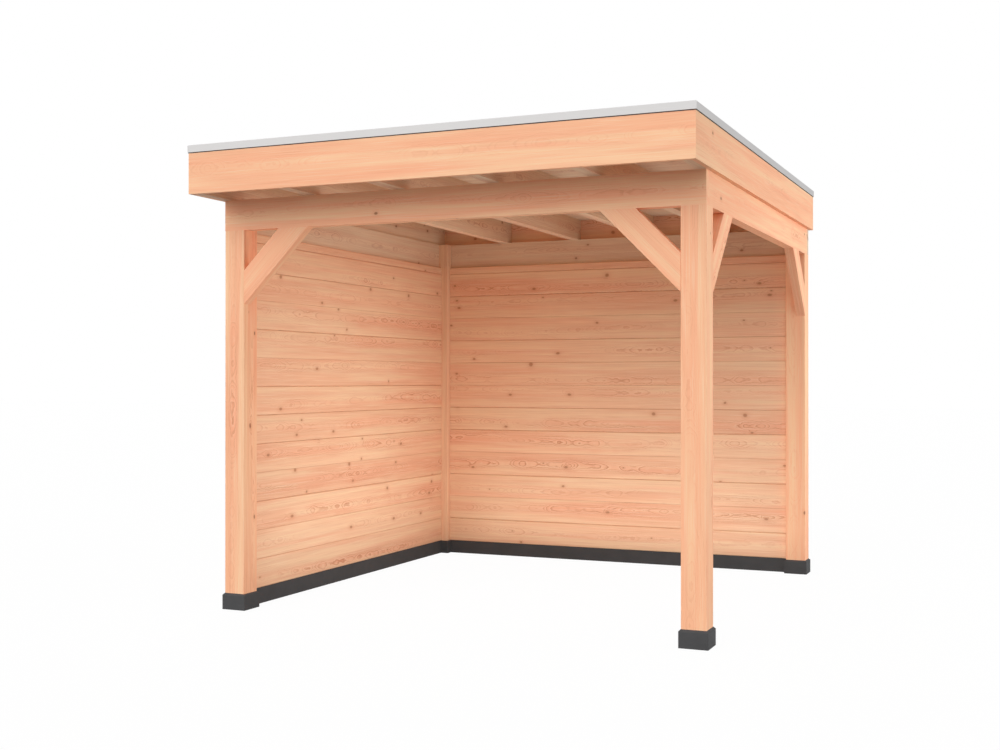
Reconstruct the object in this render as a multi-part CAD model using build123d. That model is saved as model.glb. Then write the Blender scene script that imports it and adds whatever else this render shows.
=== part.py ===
from build123d import *
import os

# A timber garden canopy with a flat roof: two board walls, the front and the right side open.
# Millimetres. +X to the right along the front, +Y to the back, +Z up.
# The origin is on the ground, under the middle of the roof.

# Plan of the frame, over the outer faces of the posts
frame_width = 3040
frame_depth = 3000

# Concrete feet and plinth strips
foot_height = 100
foot_ledge = 11
foot_chamfer = 11
plinth_height = 100
plinth_thickness = 38

# Posts, ring beams and braces
post_side = 140
post_arris = 3
beam_bottom = 2340
beam_height = 188
beam_thickness = 65
brace_inner_leg = 248
brace_width = 146
brace_thickness = 62

# Board walls, in the middle of the posts' thickness
wall_thickness = 38

# Roof carcass
joist_height = 160
joist_thickness = 70
joist_spacing = 600
joist_count = 4
joist_overhang = 296
edge_joist_thickness = 50
deck_thickness = 20
kerb_thickness = 45

# Fascia boards, from the top of the beams to above the deck
fascia_thickness = 30
fascia_height = 272

# Waterproof sheet over the deck and the kerbs
membrane_thickness = 2
membrane_edge = 4

# Aluminium roof trim, an extruded section
trim_sheet = 2
trim_gap = 3
trim_drop = 24
trim_height = 44
trim_crown_radius = 5
trim_foot = 45

# Outer faces of the frame
left = -frame_width / 2
right = frame_width / 2
front = -frame_depth / 2 + joist_overhang / 2
back = frame_depth / 2 + joist_overhang / 2

# Inner faces of the fascia boards
roof_front = front - joist_overhang
roof_back = back

# Levels
beam_top = beam_bottom + beam_height
joist_top = beam_top + joist_height
deck_top = joist_top + deck_thickness
fascia_top = beam_top + fascia_height

os.makedirs("parts", exist_ok=True)


def save(solid, node):
    """Write one sub-part under its node name."""
    solid.label = node
    export_step(solid, f"parts/{node}.step")


def block(x, y, z):
    """A rectangular timber or slab between its faces, each given as a (low, high) pair."""
    size = [high - low for low, high in (x, y, z)]
    middle = [(high + low) / 2 for low, high in (x, y, z)]
    return Pos(*middle) * Box(*size)


# The frame's corners: name, and the inner direction along X and Y
corners = {
    "front_left": (left, front, 1, 1),
    "front_right": (right, front, -1, 1),
    "back_left": (left, back, 1, -1),
    "back_right": (right, back, -1, -1),
}


def beams():
    """Front and back beams run through to the corners, the side beams fit between them."""
    across = (left, right)
    between = (front + beam_thickness, back - beam_thickness)
    level = (beam_bottom, beam_top)
    return {
        "beam_front": block(across, (front, front + beam_thickness), level),
        "beam_back": block(across, (back - beam_thickness, back), level),
        "beam_left": block((left, left + beam_thickness), between, level),
        "beam_right": block((right - beam_thickness, right), between, level),
    }


def foot(x, y, inward_x, inward_y):
    """A cast foot block: its top is chamfered back to the faces of the post."""
    side = post_side + 2 * foot_ledge
    centre = (x + inward_x * post_side / 2, y + inward_y * post_side / 2, foot_height / 2)
    cast = Box(side, side, foot_height)
    top_edges = cast.faces().sort_by(Axis.Z)[-1].edges()
    return Pos(*centre) * chamfer(top_edges, foot_chamfer)


def post(x, y, inward_x, inward_y, ring):
    """A square post with eased arrises, notched on its outer faces so that the beams sit flush."""
    height = beam_top - foot_height
    centre = (x + inward_x * post_side / 2, y + inward_y * post_side / 2, foot_height + height / 2)
    timber = Box(post_side, post_side, height)
    timber = Pos(*centre) * chamfer(timber.edges().filter_by(Axis.Z), post_arris)
    for beam in ring.values():
        timber = timber - beam
    return timber.solid()


def brace_profile():
    """The side view of a brace in the corner of a post and a beam, corner at the origin."""
    outer_leg = brace_inner_leg + brace_width * 2 ** 0.5
    return Polyline(
        (0, -brace_inner_leg),
        (0, -outer_leg),
        (outer_leg, 0),
        (brace_inner_leg, 0),
        close=True,
    )


def brace(corner, turn, run):
    """A 45 degree brace, flush with the frame, running right (1) or left (-1) from its post."""
    profile = make_face(Plane.XZ * brace_profile())
    timber = extrude(profile, amount=-brace_thickness)
    if run < 0:
        timber = mirror(timber, about=Plane.YZ)
    return (Pos(*corner, beam_bottom) * Rot(0, 0, turn) * timber).solid()


def braces():
    """Two braces in the open front and two in the open right side."""
    front_x = (left + post_side, right - post_side)
    side_y = (front + post_side, back - post_side)
    return {
        "brace_front_left": brace((front_x[0], front), 0, 1),
        "brace_front_right": brace((front_x[1], front), 0, -1),
        "brace_right_front": brace((right, side_y[0]), 90, 1),
        "brace_right_back": brace((right, side_y[1]), 90, -1),
    }


def walls():
    """Two board walls under the beams, face to face with the posts at both ends."""
    offset = (post_side - wall_thickness) / 2
    level = (plinth_height, beam_bottom)
    between_posts = (front + post_side, back - post_side)
    across_posts = (left + post_side, right - post_side)
    left_skin = (left + offset, left + offset + wall_thickness)
    back_skin = (back - offset - wall_thickness, back - offset)
    return {
        "wall_left": block(left_skin, between_posts, level),
        "wall_back": block(across_posts, back_skin, level),
    }


def plinths():
    """Concrete strips that carry the walls, cut to fit between the feet."""
    offset = (post_side - plinth_thickness) / 2
    reach = post_side + foot_ledge
    level = (0, plinth_height)
    between_feet = (front + reach, back - reach)
    across_feet = (left + reach, right - reach)
    return {
        "plinth_left": block((left + offset, left + offset + plinth_thickness), between_feet, level),
        "plinth_back": block(across_feet, (back - offset - plinth_thickness, back - offset), level),
    }


def joists():
    """Joists on the beams, from the back of the frame to the front fascia, edge joists at the sides."""
    length = (roof_front, roof_back)
    level = (beam_top, joist_top)
    row = {
        "joist_edge_left": block((left, left + edge_joist_thickness), length, level),
        "joist_edge_right": block((right - edge_joist_thickness, right), length, level),
    }
    half_row = (joist_count - 1) / 2 * joist_spacing
    for index in range(joist_count):
        middle = index * joist_spacing - half_row
        sides = (middle - joist_thickness / 2, middle + joist_thickness / 2)
        row[f"joist_{index + 1}"] = block(sides, length, level)
    return row


def kerbs():
    """Upstand timbers on the edge of the deck, behind the fascia."""
    level = (deck_top, fascia_top)
    across = (left, right)
    between = (roof_front + kerb_thickness, roof_back - kerb_thickness)
    return {
        "kerb_front": block(across, (roof_front, roof_front + kerb_thickness), level),
        "kerb_back": block(across, (roof_back - kerb_thickness, roof_back), level),
        "kerb_left": block((left, left + kerb_thickness), between, level),
        "kerb_right": block((right - kerb_thickness, right), between, level),
    }


def membrane():
    """One sheet: on the deck, up the kerbs and out over the kerbs and the fascia boards."""
    inner_x = (left + kerb_thickness, right - kerb_thickness)
    inner_y = (roof_front + kerb_thickness, roof_back - kerb_thickness)
    reach = fascia_thickness - membrane_edge
    sheet_top = fascia_top + membrane_thickness
    basin = block(inner_x, inner_y, (deck_top, sheet_top))
    brim = block((left - reach, right + reach), (roof_front - reach, roof_back + reach), (fascia_top, sheet_top))
    hollow_x = (inner_x[0] + membrane_thickness, inner_x[1] - membrane_thickness)
    hollow_y = (inner_y[0] + membrane_thickness, inner_y[1] - membrane_thickness)
    hollow = block(hollow_x, hollow_y, (deck_top + membrane_thickness, sheet_top))
    return (basin + brim - hollow).solid()


def fascia_profile():
    """The section of a fascia board: outwards from the roof's edge, and up."""
    return make_face(
        Polyline(
            (0, beam_top),
            (fascia_thickness, beam_top),
            (fascia_thickness, fascia_top),
            (0, fascia_top),
            close=True,
        )
    )


def trim_profile():
    """The section of the roof trim: a front leg, a round crown, a back leg and a foot on the sheet."""
    half_sheet = trim_sheet / 2
    face_line = fascia_thickness + trim_gap + half_sheet
    heel_line = face_line - 2 * trim_crown_radius
    seat = fascia_top + membrane_thickness + half_sheet
    lip = fascia_top - trim_drop + half_sheet
    spring = fascia_top - trim_drop + trim_height - half_sheet - trim_crown_radius
    front_leg = Line((face_line, lip), (face_line, spring))
    crown = ThreePointArc(
        (face_line, spring),
        (face_line - trim_crown_radius, spring + trim_crown_radius),
        (heel_line, spring),
    )
    back_leg = Line((heel_line, spring), (heel_line, seat))
    foot_leg = Line((heel_line, seat), (face_line - trim_foot, seat))
    centre_line = Wire([front_leg, crown, back_leg, foot_leg])
    return make_face(centre_line.offset_2d(half_sheet, kind=Kind.INTERSECTION))


def mitred_runs(name, profile):
    """A section run along the four edges of the roof and mitred at the corners."""
    half_width = frame_width / 2
    half_depth = (roof_back - roof_front) / 2
    middle_y = (roof_back + roof_front) / 2
    sides = {
        "front": (0, half_width, half_depth),
        "right": (90, half_depth, half_width),
        "back": (180, half_width, half_depth),
        "left": (270, half_depth, half_width),
    }
    runs = {}
    for side, (turn, half_length, distance) in sides.items():
        length = 2 * (half_length + fascia_thickness + trim_gap + trim_sheet)
        section = Plane(origin=(-length / 2, -distance, 0), x_dir=(0, -1, 0), z_dir=(-1, 0, 0)) * profile
        run = extrude(section, amount=-length)
        right_mitre = Plane(origin=(half_length, -distance, 0), z_dir=(1, 1, 0))
        left_mitre = Plane(origin=(-half_length, -distance, 0), z_dir=(-1, 1, 0))
        run = split(run, bisect_by=right_mitre, keep=Keep.BOTTOM)
        run = split(run, bisect_by=left_mitre, keep=Keep.BOTTOM)
        runs[f"{name}_{side}"] = (Pos(0, middle_y, 0) * Rot(0, 0, turn) * run).solid()
    return runs


ring_beams = beams()
pieces = dict(ring_beams)
for corner_name, corner in corners.items():
    pieces[f"foot_{corner_name}"] = foot(*corner)
    pieces[f"post_{corner_name}"] = post(*corner, ring_beams)
pieces.update(braces())
pieces.update(walls())
pieces.update(plinths())
pieces.update(joists())
pieces["roof_deck"] = block((left, right), (roof_front, roof_back), (joist_top, deck_top))
pieces.update(kerbs())
pieces["roof_membrane"] = membrane()
pieces.update(mitred_runs("fascia", fascia_profile()))
pieces.update(mitred_runs("trim", trim_profile()))

for node_name, piece in pieces.items():
    save(piece, node_name)
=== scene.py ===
import math
import random
from typing import NamedTuple

import bmesh
import bpy
from mathutils import Matrix, Vector


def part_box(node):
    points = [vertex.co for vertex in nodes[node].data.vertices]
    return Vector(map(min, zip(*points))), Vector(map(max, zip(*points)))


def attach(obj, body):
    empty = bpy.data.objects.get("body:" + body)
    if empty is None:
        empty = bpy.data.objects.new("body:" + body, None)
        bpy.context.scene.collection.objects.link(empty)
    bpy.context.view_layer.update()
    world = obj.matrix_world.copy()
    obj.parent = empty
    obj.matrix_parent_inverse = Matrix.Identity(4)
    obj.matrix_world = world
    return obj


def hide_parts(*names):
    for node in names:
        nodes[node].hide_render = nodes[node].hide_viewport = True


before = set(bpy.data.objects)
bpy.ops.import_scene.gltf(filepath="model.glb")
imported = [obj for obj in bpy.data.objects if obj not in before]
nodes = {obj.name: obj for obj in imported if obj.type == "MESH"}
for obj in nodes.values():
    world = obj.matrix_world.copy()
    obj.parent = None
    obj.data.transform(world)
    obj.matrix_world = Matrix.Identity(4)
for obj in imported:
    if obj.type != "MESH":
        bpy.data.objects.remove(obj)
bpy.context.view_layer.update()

# A timber garden canopy. Metres, +X to the right along the front, +Y to the back, +Z up.

# Camera, at the photograph's viewpoint
camera_place = (3.2076, -7.9429, 1.4165)
camera_lift = math.radians(0.23)
camera_turn = math.radians(23.53)
camera_lens = 46.07


class SkyPatch(NamedTuple):
    """A broad light round a direction given in degrees; it is wider the smaller the spread."""

    azimuth: float
    height: float
    spread: float
    strength: float


# Light from the sky: an even part and broad patches
dome_strength = 0.12
sky_patches = [
    SkyPatch(azimuth=-90, height=27, spread=8, strength=3.2),
    SkyPatch(azimuth=0, height=20, spread=8, strength=0.9),
    SkyPatch(azimuth=-135, height=25, spread=8, strength=1.75),
    SkyPatch(azimuth=130, height=22, spread=5, strength=0.8),
]

# How much greyer than white the metal sees the sky behind the canopy
grey_patch = SkyPatch(azimuth=70, height=10, spread=3, strength=0.28)

# Floor: its side, its grey as a screen value, how bright it looks, and how much of that is shading
floor_size = 120
floor_grey = 138
floor_white = 1.08
floor_shading = 0.1

# Wall boards: tongued and grooved, with V joints on both faces, some tight and some open
wall_board_cover = 0.182
wall_board_start = 0.103
narrowest_board = 0.020
wall_joint_depths = (0.0014, 0.0022, 0.0034, 0.0048)

# Roof boards, seen from below between the joists
roof_board_count = 27
roof_joint_depth = 0.0025

# Tongues, as (width, height), their taper at the tip and their play in the groove
wall_tongue = (0.010, 0.008)
roof_tongue = (0.006, 0.007)
tongue_taper = 0.001
groove_play = 0.0003
groove_room = 0.001

# The dry gap between two boards as a share of their V joint, and how far a board may sit back
gap_share = 0.4
board_step = 0.0006

# The roof sheet's edge, turned down behind the trim, as a dark strip that paints the shadow line under
# the trim
shadow_sheet_gap = 0.0003
shadow_sheet_thickness = 0.002
shadow_sheet_drop = 0.028

# Eased arrises: where faces turn by more than this angle, and how wide on each kind of piece
arris_angle = math.radians(25)
timber_ease = 0.0012
board_ease = 0.0007
concrete_ease = 0.003
sheet_ease = 0.0005
shadow_sheet_ease = 0.0003
metal_ease = 0.0003

# The log that each piece is sawn from: how far the pith lies behind the face and to the side
pith_depth = 0.080
post_pith_depth = 0.105
fascia_pith_depth = 0.100
board_pith_scatter = 0.012
timber_scatter = 0.022
board_scatter = 0.060

# How far the pith wanders to the side and in depth, over metres and over hands' breadths
slow_wander = (0.080, 0.060)
quick_wander = (0.016, 0.056)

# Knots: their spacing along the pith in metres and round it in radians, their sizes, how much they
# are drawn out along the grain, and how far they push the rings out
knot_spacing = 0.62
knot_spread = 1.20
knot_smallest = 0.0030
knot_largest = 0.0085
knot_squash = 0.55
knot_bulge = 0.010

# Growth rings, with a ripple and a torn edge, and the radii between which heartwood turns to sapwood
ring_width = 0.0046
ring_ripple = 0.0034
ring_tear = 0.0016
heart_inside = 0.070
heart_outside = 0.100
heart_raggedness = 0.050

draw = random.Random(7)


# Shader numbers

def linear(red, green, blue):
    """A screen colour, 0 to 255, as a shader colour."""
    parts = [value / 255 for value in (red, green, blue)]
    parts = [p / 12.92 if p <= 0.04045 else ((p + 0.055) / 1.055) ** 2.4 for p in parts]
    return (*parts, 1.0)


def connect(socket, value):
    """Link a term to a socket, or set the socket to a plain number or colour."""
    if isinstance(value, Term):
        socket.id_data.links.new(value.socket, socket)
    else:
        socket.default_value = value


class Term:
    """A value that shader nodes work out. Sums and products of terms add the Math nodes."""

    def __init__(self, socket):
        self.socket = socket

    def math(self, operation, *others):
        node = self.socket.id_data.nodes.new("ShaderNodeMath")
        node.operation = operation
        for socket, value in zip(node.inputs, (self, *others)):
            connect(socket, value)
        return Term(node.outputs[0])

    def __add__(self, other):
        return self.math("ADD", other)

    __radd__ = __add__

    def __sub__(self, other):
        return self.math("SUBTRACT", other)

    def __rsub__(self, other):
        return self.math("MULTIPLY_ADD", -1.0, other)

    def __mul__(self, other):
        return self.math("MULTIPLY", other)

    __rmul__ = __mul__

    def __truediv__(self, other):
        return self.math("DIVIDE", other)

    def __pow__(self, other):
        return self.math("POWER", other)

    def step(self, low, high):
        """0 below low, 1 above high and smooth between; low may be the larger."""
        node = self.socket.id_data.nodes.new("ShaderNodeMapRange")
        node.interpolation_type = "SMOOTHSTEP"
        values = (self, low, high, 0.0, 1.0)
        if low > high:
            values = (self, high, low, 1.0, 0.0)
        for socket, value in zip(node.inputs, values):
            connect(socket, value)
        return Term(node.outputs["Result"])

    def parts(self):
        """The three components of a vector or colour."""
        node = self.socket.id_data.nodes.new("ShaderNodeSeparateXYZ")
        connect(node.inputs[0], self)
        return [Term(output) for output in node.outputs]


def vector(tree, x, y, z):
    """A vector of three terms or numbers."""
    node = tree.nodes.new("ShaderNodeCombineXYZ")
    for socket, value in zip(node.inputs, (x, y, z)):
        connect(socket, value)
    return Term(node.outputs[0])


def noise(tree, place, scale=1.0, detail=2.0, roughness=0.5):
    """Noise of a vector, from 0 to 1, and its colour, three more such numbers."""
    node = tree.nodes.new("ShaderNodeTexNoise")
    connect(node.inputs["Vector"], place)
    node.inputs["Scale"].default_value = scale
    node.inputs["Detail"].default_value = detail
    node.inputs["Roughness"].default_value = roughness
    return Term(node.outputs["Fac"]), Term(node.outputs["Color"])


def mix(tree, factor, first, second, blend="MIX"):
    """A blend of two colours."""
    node = tree.nodes.new("ShaderNodeMix")
    node.data_type = "RGBA"
    node.blend_type = blend
    connect(node.inputs[0], factor)
    connect(node.inputs[6], first)
    connect(node.inputs[7], second)
    return Term(node.outputs[2])


def shaded(tree, colour, shade):
    """A colour times a grey."""
    return mix(tree, 1.0, colour, vector(tree, shade, shade, shade), "MULTIPLY")


def bump(tree, height, distance, strength=1.0):
    """The normal of a surface with a fine relief."""
    node = tree.nodes.new("ShaderNodeBump")
    node.inputs["Strength"].default_value = strength
    node.inputs["Distance"].default_value = distance
    connect(node.inputs["Height"], height)
    return Term(node.outputs[0])


def object_place(tree):
    """The place in the row frame."""
    return Term(tree.nodes.new("ShaderNodeTexCoord").outputs["Object"])


def blend_shaders(tree, factor, first, second, output):
    """Send a blend of two shader nodes to the output node of that name."""
    node = tree.nodes.new("ShaderNodeMixShader")
    connect(node.inputs[0], factor)
    tree.links.new(first.outputs[0], node.inputs[1])
    tree.links.new(second.outputs[0], node.inputs[2])
    tree.links.new(node.outputs[0], tree.nodes[output].inputs["Surface"])


def new_material(name):
    """A material with its Principled shader, and the tree they are in."""
    material = bpy.data.materials.new(name)
    material.use_nodes = True
    return material, material.node_tree, material.node_tree.nodes["Principled BSDF"]


# Planed softwood

class Wood(NamedTuple):
    """The tones of a softwood, and the share of its possible knots that it has."""

    name: str
    sapwood: tuple
    heartwood: tuple
    latewood: tuple
    knot: tuple
    pale_cut: tuple
    knot_share: float


frame_wood = Wood(
    name="frame_wood",
    sapwood=linear(253, 202, 160),
    heartwood=linear(249, 170, 132),
    latewood=linear(212, 132, 96),
    knot=linear(150, 84, 54),
    pale_cut=linear(255, 221, 186),
    knot_share=0.25,
)
# A paler copy of the frame wood for the pieces that stand in the shade: painted shade, its paler tones
# stand in for the duller light there
pale_shade_wood = Wood(
    name="pale_shade_wood",
    sapwood=linear(247, 206, 168),
    heartwood=linear(241, 179, 144),
    latewood=linear(204, 124, 88),
    knot=linear(184, 120, 84),
    pale_cut=linear(255, 228, 197),
    knot_share=0.45,
)
# A greyer, paler copy of the frame wood for the roof timbers and the inner beams, which stand in the
# shade: painted shade, its greyer tones stand in for the dull light under the roof
grey_shade_wood = Wood(
    name="grey_shade_wood",
    sapwood=linear(237, 212, 182),
    heartwood=linear(226, 183, 152),
    latewood=linear(182, 120, 90),
    knot=linear(156, 106, 78),
    pale_cut=linear(246, 226, 200),
    knot_share=0.40,
)


def wood_group(wood):
    """Colour, roughness and height of a softwood, from the place in the log.

    The log's pith is the X axis. The growth rings are rough cylinders around it, so a sawn face
    shows them as arches and ovals, and a knot is a branch that runs out from the pith.
    """
    tree = bpy.data.node_groups.new(wood.name, "ShaderNodeTree")
    tree.interface.new_socket("Grain", in_out="INPUT", socket_type="NodeSocketVector")
    tree.interface.new_socket("Color", in_out="OUTPUT", socket_type="NodeSocketColor")
    tree.interface.new_socket("Roughness", in_out="OUTPUT", socket_type="NodeSocketFloat")
    tree.interface.new_socket("Height", in_out="OUTPUT", socket_type="NodeSocketFloat")
    grain = Term(tree.nodes.new("NodeGroupInput").outputs["Grain"])
    along, across, depth = grain.parts()

    def drawn_out(lengthwise, crosswise, detail):
        """Noise drawn out along the grain, with so many features a metre along and across it."""
        place = vector(tree, along * lengthwise, across * crosswise, depth * crosswise)
        return noise(tree, place, detail=detail)

    # Three numbers that differ from piece to piece
    piece = noise(tree, vector(tree, along * 0.04, 1.0, 3.0), detail=0.0)[1].parts()

    # The pith wanders, slowly over metres and quickly over hands' breadths
    slow = noise(tree, vector(tree, along * 0.55, 0.0, 0.0), detail=0.0)[1].parts()
    quick = noise(tree, vector(tree, along * 3.6, 4.0, 0.0), detail=2.0, roughness=0.55)[1].parts()
    side = across + (slow[0] - 0.5) * slow_wander[0] + (quick[0] - 0.5) * quick_wander[0]
    out = depth + (slow[1] - 0.5) * slow_wander[1] + (quick[1] - 0.5) * quick_wander[1]
    radius = (side * side + out * out) ** 0.5
    angle = side.math("ARCTAN2", out)

    # Knots, with a halo of bent grain
    cell = tree.nodes.new("ShaderNodeTexVoronoi")
    cell.voronoi_dimensions = "2D"
    cell.inputs["Scale"].default_value = 1.0
    cell.inputs["Randomness"].default_value = 0.9
    connect(cell.inputs["Vector"], vector(tree, along / knot_spacing, angle / knot_spread, 0.0))
    centre = Term(cell.outputs["Position"]).parts()
    chance = Term(cell.outputs["Color"]).parts()
    off_along = (along - centre[0] * knot_spacing) * knot_squash
    off_side = (angle - centre[1] * knot_spread) * radius
    knot_size = knot_smallest + chance[1] * (knot_largest - knot_smallest)
    away = (off_along * off_along + off_side * off_side) ** 0.5 / knot_size
    present = chance[0].step(wood.knot_share, wood.knot_share - 0.01)
    knot = away.step(1.5, 0.6) * present
    halo = (away * away * -0.16).math("EXPONENT") * present

    # Growth rings, uneven in width, with a torn edge, and pushed outwards round a knot
    ripple = drawn_out(16.0, 55.0, 2.0)[0]
    tear = drawn_out(70.0, 260.0, 1.0)[0]
    uneven = noise(tree, vector(tree, radius * 55.0, 7.0, 0.0), detail=2.0)[0]
    wobble = (ripple - 0.5) * ring_ripple + (tear - 0.5) * ring_tear
    ring = (radius - halo * knot_bulge + wobble) / ring_width + uneven * 3.0
    phase = ring.math("FRACT")
    late = phase.step(0.58, 0.90) * phase.step(1.0, 0.96)
    early = phase.step(0.28, 0.06) * phase.step(0.0, 0.04)

    # Heartwood nearer the pith, with a ragged edge
    ragged = drawn_out(2.2, 16.0, 3.0)[0]
    edge = radius + (ragged - 0.5) * heart_raggedness
    heart = edge.step(heart_outside, heart_inside) * piece[1].step(0.15, 0.75)

    # Broad bands and streaks along the grain, fine threads and fibres, and stretches without figure
    band = drawn_out(0.5, 11.0, 2.0)[0]
    streak, streak_colour = drawn_out(0.8, 30.0, 3.0)
    thread = drawn_out(3.0, 160.0, 3.0)[0]
    fibre = drawn_out(9.0, 620.0, 2.0)[0]
    clear = drawn_out(1.6, 9.0, 2.0)[0]
    figure = (0.16 + heart * 0.60) * clear.step(0.30, 0.62)

    colour = mix(tree, heart * 0.5 + band.step(0.42, 0.60) * 0.5, wood.sapwood, wood.heartwood)
    colour = mix(tree, (streak_colour.parts()[1] - 0.42) * 1.6, colour, wood.heartwood)
    colour = mix(tree, late * figure, colour, wood.latewood)
    colour = mix(tree, early * figure * 0.45, colour, wood.pale_cut)
    colour = mix(tree, thread.step(0.52, 0.70) * 0.28, colour, wood.pale_cut)
    colour = mix(tree, thread.step(0.46, 0.30) * 0.14, colour, wood.latewood)
    colour = mix(tree, halo * 0.30, colour, wood.latewood)
    tone = 0.93 + streak * 0.14 + thread * 0.06 + fibre * 0.04 + (piece[0] - 0.5) * 0.14
    colour = shaded(tree, colour, tone)
    colour = mix(tree, knot * 0.70, colour, wood.knot)

    result = tree.nodes.new("NodeGroupOutput")
    connect(result.inputs["Color"], colour)
    connect(result.inputs["Roughness"], 0.56 + fibre * 0.16 - late * 0.06)
    connect(result.inputs["Height"], late * 0.35 + fibre * 0.45 + thread * 0.2)
    return tree


wood_groups = {wood: wood_group(wood) for wood in (frame_wood, pale_shade_wood, grey_shade_wood)}


def wood_material(name, wood, grain_source):
    """Softwood whose place in the log comes from grain_source(tree)."""
    material, tree, shader = new_material(name)
    group = tree.nodes.new("ShaderNodeGroup")
    group.node_tree = wood_groups[wood]
    connect(group.inputs["Grain"], grain_source(tree))
    connect(shader.inputs["Base Color"], Term(group.outputs["Color"]))
    connect(shader.inputs["Roughness"], Term(group.outputs["Roughness"]))
    connect(shader.inputs["Normal"], bump(tree, Term(group.outputs["Height"]), 0.0004, 0.6))
    shader.inputs["Specular IOR Level"].default_value = 0.3
    return material


def board_grain(tree):
    """The place in the log, as the boards' meshes hold it."""
    node = tree.nodes.new("ShaderNodeAttribute")
    node.attribute_name = "grain"
    return Term(node.outputs["Vector"])


def axes_matrix(along, face):
    """Turns the row frame into the log's: X along the grain, Z out of the main face."""
    along = Vector(along).normalized()
    face = Vector(face).normalized()
    across = face.cross(along)
    return Matrix((along, across, face))


def log_place(scatter):
    """A fresh stretch of log, and where its pith lies to the side."""
    return draw.uniform(5, 400), draw.uniform(-scatter, scatter)


def timber_grain(node, along, face, depth):
    """The log's coordinates for a CAD timber: its pith lies depth behind the middle of the face."""
    low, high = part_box(node)
    axes = axes_matrix(along, face)
    middle = (low + high) / 2
    reach = abs((axes @ (high - low))[2]) / 2
    stretch, side = log_place(timber_scatter)
    shift = Vector((stretch, side, depth - reach)) - axes @ middle

    def source(tree):
        mapping = tree.nodes.new("ShaderNodeMapping")
        mapping.inputs["Location"].default_value = shift
        mapping.inputs["Rotation"].default_value = axes.to_euler()
        connect(mapping.inputs["Vector"], object_place(tree))
        return Term(mapping.outputs[0])

    return source


def ease(piece, width, segments=2):
    """Round the arrises of a piece."""
    bevel = piece.modifiers.new("eased arrises", "BEVEL")
    bevel.width = width
    bevel.segments = segments
    bevel.limit_method = "ANGLE"
    bevel.angle_limit = arris_angle
    bevel.harden_normals = False
    for face in piece.data.polygons:
        face.use_smooth = False


def dress(node, material, width, segments=2):
    """Give a CAD node its material and eased arrises."""
    piece = nodes[node]
    piece.data.materials.clear()
    piece.data.materials.append(material)
    ease(piece, width, segments)


def dress_timber(node, wood, along, face, depth=pith_depth):
    """Dress a CAD timber as a piece of its own log."""
    material = wood_material(f"wood_{node}", wood, timber_grain(node, along, face, depth))
    dress(node, material, timber_ease)


# Frame timbers: the grain's direction and the face that shows most

across_x = (1, 0, 0)
across_y = (0, 1, 0)
upright = (0, 0, 1)
to_front = (0, -1, 0)
to_right = (1, 0, 0)
to_left = (-1, 0, 0)
to_back = (0, 1, 0)

for corner in ("front_left", "front_right", "back_right"):
    dress_timber(f"post_{corner}", frame_wood, upright, to_front, post_pith_depth)
# The back left post stands in the shade and takes the paler wood: painted shade
dress_timber("post_back_left", pale_shade_wood, upright, to_front, post_pith_depth)

dress_timber("beam_front", frame_wood, across_x, to_front)
# The back and left beams stand in the shade and take the greyer wood: painted shade
dress_timber("beam_back", grey_shade_wood, across_x, to_front)
dress_timber("beam_left", grey_shade_wood, across_y, to_right)
dress_timber("beam_right", frame_wood, across_y, to_right)

dress_timber("brace_front_left", frame_wood, (1, 0, 1), to_front)
dress_timber("brace_front_right", frame_wood, (-1, 0, 1), to_front)
dress_timber("brace_right_front", frame_wood, (0, 1, 1), to_right)
dress_timber("brace_right_back", frame_wood, (0, -1, 1), to_right)

# The joists, under the roof, take the greyer wood: painted shade
for joist in ("joist_1", "joist_2", "joist_3", "joist_4", "joist_edge_left", "joist_edge_right"):
    dress_timber(joist, grey_shade_wood, across_y, to_right)

dress_timber("fascia_front", frame_wood, across_x, to_front, fascia_pith_depth)
# The back fascia, seen in the dark gap above the back beam, takes the paler wood: painted shade
dress_timber("fascia_back", pale_shade_wood, across_x, to_back, fascia_pith_depth)
dress_timber("fascia_left", frame_wood, across_y, to_left, fascia_pith_depth)
dress_timber("fascia_right", frame_wood, across_y, to_right, fascia_pith_depth)

dress_timber("kerb_front", grey_shade_wood, across_x, to_front)
dress_timber("kerb_back", grey_shade_wood, across_x, to_back)
dress_timber("kerb_left", grey_shade_wood, across_y, to_left)
dress_timber("kerb_right", grey_shade_wood, across_y, to_right)


# New pieces

def join_rings(mesh, first, second):
    """The faces between two rings of as many vertices."""
    count = len(first)
    for index in range(count):
        following = (index + 1) % count
        mesh.faces.new((first[index], first[following], second[following], second[index]))


def piece_from(mesh, name, material):
    """Turn a finished bmesh into an object with one material."""
    bmesh.ops.recalc_face_normals(mesh, faces=mesh.faces)
    data = bpy.data.meshes.new(name)
    mesh.to_mesh(data)
    mesh.free()
    data.materials.append(material)
    piece = bpy.data.objects.new(name, data)
    bpy.context.scene.collection.objects.link(piece)
    return piece


# Boards

def board_section(low, high, thickness, joints, tongue, closed_top):
    """The section of a tongued board: (depth, height) points, with the V joints at both its edges."""
    half = thickness / 2
    lower, upper = joints
    tongue_width, tongue_height = tongue
    tip = tongue_width / 2 - tongue_taper
    groove = tongue_width / 2 + groove_play
    groove_top = low + tongue_height + groove_room
    top = high if closed_top else high - upper * gap_share
    points = [
        (half, low + lower),
        (half, top - upper),
        (half - upper, top),
    ]
    if not closed_top:
        points += [
            (tongue_width / 2, top),
            (tip, top + tongue_height),
            (-tip, top + tongue_height),
            (-tongue_width / 2, top),
        ]
    points += [
        (-half + upper, top),
        (-half, top - upper),
        (-half, low + lower),
        (-half + lower, low),
        (-groove, low),
        (-groove, groove_top),
        (groove, groove_top),
        (groove, low),
        (half - lower, low),
    ]
    return points


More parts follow.
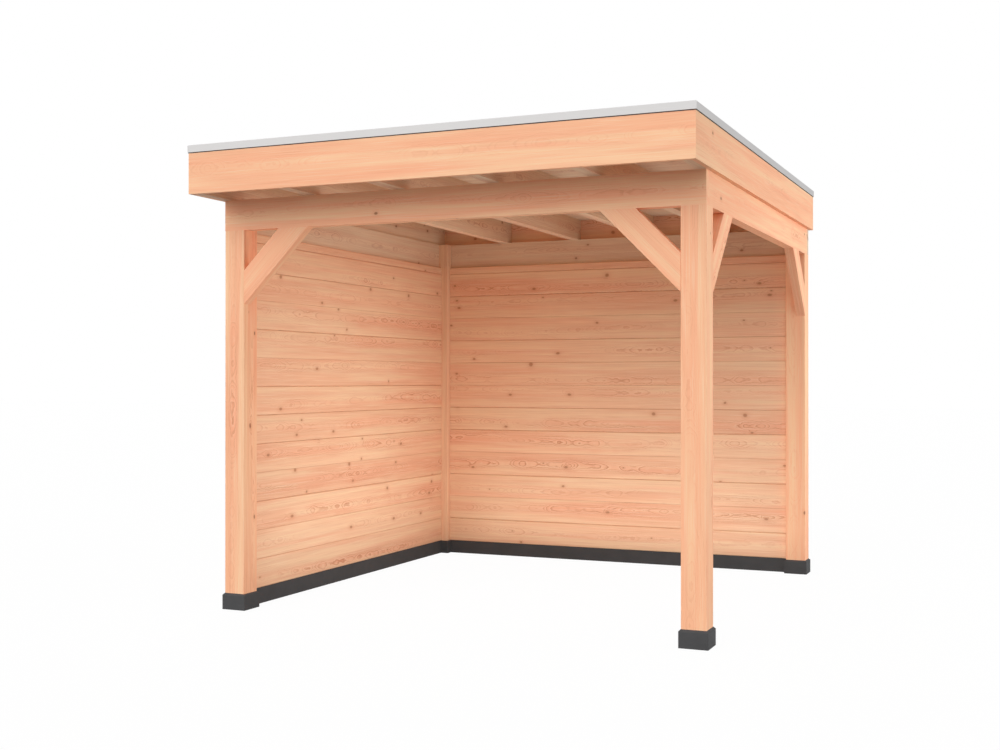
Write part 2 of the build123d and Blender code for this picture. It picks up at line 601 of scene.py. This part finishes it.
def board_mesh(name, boards, place, material):
    """One mesh of many boards.

    Each board is (section, start, end, set_back), and place(depth, height, run) is a point in the
    row frame. The attribute named grain is each point's place in its board's own log.
    """
    mesh = bmesh.new()
    grain = mesh.verts.layers.float_vector.new("grain")
    for section, start, end, set_back in boards:
        stretch, side = log_place(board_scatter)
        middle = sum(height for _, height in section) / len(section)
        depth_here = pith_depth + draw.uniform(-board_pith_scatter, board_pith_scatter)
        thickest = max(depth for depth, _ in section)
        rings = []
        for run in (start, end):
            ring = []
            for depth, height in section:
                vertex = mesh.verts.new(place(depth - set_back, height, run))
                back_off = abs(depth) - thickest
                vertex[grain] = (run + stretch, height - middle + side, depth_here + back_off)
                ring.append(vertex)
            rings.append(ring)
        join_rings(mesh, *rings)
        mesh.faces.new(rings[0][::-1])
        mesh.faces.new(rings[1])
    piece = piece_from(mesh, name, material)
    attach(piece, "root")
    ease(piece, board_ease, 1)
    return piece


# The wall boards stand in the shade and take the paler wood: painted shade
wall_material = wood_material("wall_boards", pale_shade_wood, board_grain)
# The roof boards, under the roof, take the greyer wood: painted shade
roof_material = wood_material("roof_boards", grey_shade_wood, board_grain)


def wall_boards(low, high):
    """Full boards from the plinth up, and a ripped one under the beam."""
    bottoms = [low[2]]
    height = wall_board_start + wall_board_cover
    while height < high[2] - narrowest_board:
        bottoms.append(height)
        height += wall_board_cover
    return list(zip(bottoms, bottoms[1:] + [high[2]]))


def make_wall(node, run_axis):
    """The separate boards of a wall; run_axis is 0 along X and 1 along Y."""
    low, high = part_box(node)
    depth_axis = 1 - run_axis
    thickness = high[depth_axis] - low[depth_axis] - board_step
    middle = (high[depth_axis] + low[depth_axis]) / 2
    boards = []
    joint = draw.choice(wall_joint_depths)
    for bottom, top in wall_boards(low, high):
        next_joint = draw.choice(wall_joint_depths)
        closed_top = top == high[2]
        section = board_section(bottom, top, thickness, (joint, next_joint), wall_tongue, closed_top)
        joint = next_joint
        set_back = draw.uniform(-0.5, 0.5) * board_step
        boards.append((section, low[run_axis], high[run_axis], set_back))

    def place(depth, height, run):
        point = [0.0, 0.0, height]
        point[run_axis] = run
        point[depth_axis] = middle + depth
        return point

    piece = board_mesh(f"{node}_boards", boards, place, wall_material)
    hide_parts(node)


make_wall("wall_left", 1)
make_wall("wall_back", 0)


def make_roof_boards():
    """Boards across the joists, with their V joints on both faces."""
    low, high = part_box("roof_deck")
    cover = (high[1] - low[1]) / roof_board_count
    thickness = high[2] - low[2]
    middle = (high[2] + low[2]) / 2
    boards = []
    joints = (roof_joint_depth, roof_joint_depth)
    for index in range(roof_board_count):
        near = low[1] + index * cover
        last = index == roof_board_count - 1
        far = high[1] if last else near + cover
        section = board_section(near, far, thickness, joints, roof_tongue, last)
        boards.append((section, low[0], high[0], 0.0))

    def place(depth, across, run):
        return [run, across, middle + depth]

    piece = board_mesh("roof_boards", boards, place, roof_material)
    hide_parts("roof_deck")


make_roof_boards()


# Concrete

def concrete_material():
    """Anthracite cast concrete, cloudy and sandy, with small pits."""
    material, tree, shader = new_material("anthracite_concrete")
    place = object_place(tree)
    cloud = noise(tree, place, 9.0, 4.0)[0]
    sand = noise(tree, place, 420.0, 2.0, 0.7)[0]
    pits = tree.nodes.new("ShaderNodeTexVoronoi")
    pits.inputs["Scale"].default_value = 95.0
    connect(pits.inputs["Vector"], place)
    pit = Term(pits.outputs["Distance"]).step(0.16, 0.06)
    shade = 0.72 + cloud * 0.36 + sand * 0.22 - pit * 0.35
    connect(shader.inputs["Base Color"], shaded(tree, linear(74, 74, 75), shade))
    connect(shader.inputs["Roughness"], 0.78 + sand * 0.15)
    connect(shader.inputs["Normal"], bump(tree, sand * 0.6 - pit * 1.6 + cloud * 0.4, 0.0006, 0.7))
    shader.inputs["Specular IOR Level"].default_value = 0.35
    return material


concrete = concrete_material()
for corner in ("front_left", "front_right", "back_left", "back_right"):
    dress(f"foot_{corner}", concrete, concrete_ease, 3)
for side in ("left", "back"):
    dress(f"plinth_{side}", concrete, concrete_ease, 3)


# Roof sheet

def rubber_material():
    """Matt black rubber with dust on it, lying in slight waves."""
    material, tree, shader = new_material("rubber_sheet")
    place = object_place(tree)
    dust = noise(tree, place, 1.7, 5.0, 0.6)[0]
    waves = noise(tree, place, 2.6, 2.0)[0]
    grit = noise(tree, place, 800.0, 1.0)[0]
    colour = mix(tree, dust.step(0.35, 0.8) * 0.5, linear(46, 43, 41), linear(84, 81, 76))
    connect(shader.inputs["Base Color"], colour)
    connect(shader.inputs["Roughness"], 0.55 + dust * 0.3)
    connect(shader.inputs["Normal"], bump(tree, waves + grit * 0.01, 0.012, 0.5))
    return material


rubber = rubber_material()
dress("roof_membrane", rubber, sheet_ease)


def make_shadow_line_sheet():
    """The edge of the roof sheet, turned down over the fascia boards: a dark strip under the trim, put
    there as a painted shadow line.
    """
    low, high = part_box("fascia_right")
    reach_x = high[0] + shadow_sheet_gap
    reach_y = (high[1] - low[1]) / 2 + shadow_sheet_gap
    middle_y = (high[1] + low[1]) / 2
    bottom = high[2] - shadow_sheet_drop
    section = [
        (0.0, bottom),
        (shadow_sheet_thickness, bottom),
        (shadow_sheet_thickness, high[2]),
        (0.0, high[2]),
    ]
    mesh = bmesh.new()
    rings = []
    for out, height in section:
        ring = []
        for turn_x, turn_y in ((1, 1), (-1, 1), (-1, -1), (1, -1)):
            corner = (turn_x * (reach_x + out), middle_y + turn_y * (reach_y + out), height)
            ring.append(mesh.verts.new(corner))
        rings.append(ring)
    for first, second in zip(rings, rings[1:] + rings[:1]):
        join_rings(mesh, first, second)
    piece = piece_from(mesh, "roof_sheet_shadow_line", rubber)
    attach(piece, "root")
    ease(piece, shadow_sheet_ease, 1)


# A dark strip that stands in for the shadow line under the trim: painted shadow
make_shadow_line_sheet()


# Roof trim

def aluminium_material():
    """Mill aluminium with faint drawing lines."""
    material, tree, shader = new_material("mill_aluminium")
    place = object_place(tree)
    x, y, z = place.parts()
    lines = noise(tree, vector(tree, x * 2.0, y * 2.0, z * 1400.0), 1.0, 2.0)[0]
    patch = noise(tree, place, 3.0, 3.0)[0]
    shade = 0.95 + patch * 0.08 + lines * 0.03
    connect(shader.inputs["Base Color"], shaded(tree, linear(219, 217, 216), shade))
    shader.inputs["Metallic"].default_value = 1.0
    connect(shader.inputs["Roughness"], 0.36 + patch * 0.12 + lines * 0.05)
    connect(shader.inputs["Normal"], bump(tree, lines, 0.0001, 0.3))
    return material


aluminium = aluminium_material()
for side in ("front", "back", "left", "right"):
    dress(f"trim_{side}", aluminium, metal_ease)


# Floor

def make_floor():
    """A wide pale floor that looks white where nothing shades it, and keeps the object's shadow."""
    bpy.ops.mesh.primitive_plane_add(size=floor_size)
    floor = bpy.context.object
    floor.name = "floor"
    material, tree, shader = new_material("pale_floor")
    connect(shader.inputs["Base Color"], linear(floor_grey, floor_grey, floor_grey))
    shader.inputs["Roughness"].default_value = 0.9
    white = tree.nodes.new("ShaderNodeEmission")
    white.inputs["Strength"].default_value = floor_white
    path = tree.nodes.new("ShaderNodeLightPath")
    seen = Term(path.outputs["Is Camera Ray"]).math("MAXIMUM", Term(path.outputs["Is Glossy Ray"]))
    blend_shaders(tree, seen * (1 - floor_shading), shader, white, "Material Output")
    floor.data.materials.append(material)


make_floor()


# Light

def broad_light(tree, patch):
    """The strength of a sky patch in the direction that is looked in."""
    azimuth = math.radians(patch.azimuth)
    height = math.radians(patch.height)
    level = math.cos(height)
    toward = (math.cos(azimuth) * level, math.sin(azimuth) * level, math.sin(height))
    node = tree.nodes.new("ShaderNodeVectorMath")
    node.operation = "DOT_PRODUCT"
    tree.links.new(tree.nodes["Texture Coordinate"].outputs["Generated"], node.inputs[0])
    node.inputs[1].default_value = toward
    facing = Term(node.outputs["Value"]).math("MAXIMUM", 0.0)
    return facing ** patch.spread * patch.strength


def make_world():
    """Soft light, most of it from the front, less from the right and the front left, little from behind.

    The camera sees white, and so does the metal, but for a greyer patch behind.
    """
    world = bpy.data.worlds.new("studio")
    bpy.context.scene.world = world
    world.use_nodes = True
    tree = world.node_tree
    tree.nodes.new("ShaderNodeTexCoord")
    dome = tree.nodes["Background"]
    dome.inputs["Color"].default_value = (1, 1, 1, 1)
    strength = dome_strength
    for patch in sky_patches:
        strength = broad_light(tree, patch) + strength
    connect(dome.inputs["Strength"], strength)
    white = tree.nodes.new("ShaderNodeBackground")
    white.inputs["Color"].default_value = (1, 1, 1, 1)
    path = tree.nodes.new("ShaderNodeLightPath")
    glossy = Term(path.outputs["Is Glossy Ray"])
    connect(white.inputs["Strength"], 1.0 - glossy * broad_light(tree, grey_patch))
    seen = Term(path.outputs["Is Camera Ray"]).math("MAXIMUM", glossy)
    blend_shaders(tree, seen, dome, white, "World Output")


make_world()


def soft_lamp(name, place, aim, width, height, brightness, spread=180):
    """A rectangular lamp, with its spread in degrees, that neither the camera nor the metal sees."""
    lamp_data = bpy.data.lights.new(name, "AREA")
    lamp_data.shape = "RECTANGLE"
    lamp_data.size = width
    lamp_data.size_y = height
    lamp_data.energy = math.pi * width * height * brightness
    lamp_data.spread = math.radians(spread)
    lamp = bpy.data.objects.new(name, lamp_data)
    lamp.location = place
    lamp.rotation_euler = (Vector(aim) - Vector(place)).to_track_quat("-Z", "Y").to_euler()
    lamp.visible_camera = False
    lamp.visible_glossy = False
    bpy.context.scene.collection.objects.link(lamp)


soft_lamp(
    "right_lamp",
    place=(7.2, 2.6, 1.85),
    aim=(0.0, 0.7, 1.3),
    width=8.0,
    height=2.4,
    brightness=1.4,
    spread=80,
)
soft_lamp(
    "floor_glow",
    place=(0.1, 0.15, 0.1),
    aim=(0.1, 0.151, 1.0),
    width=2.5,
    height=2.5,
    brightness=0.85,
)


# Camera

camera_data = bpy.data.cameras.new("camera")
camera_data.lens = camera_lens
camera_data.sensor_width = 36.0
camera = bpy.data.objects.new("camera", camera_data)
camera.location = camera_place
camera.rotation_euler = (math.pi / 2 + camera_lift, 0.0, camera_turn)
bpy.context.scene.collection.objects.link(camera)
bpy.context.scene.camera = camera
bpy.context.scene.view_settings.view_transform = "Standard"
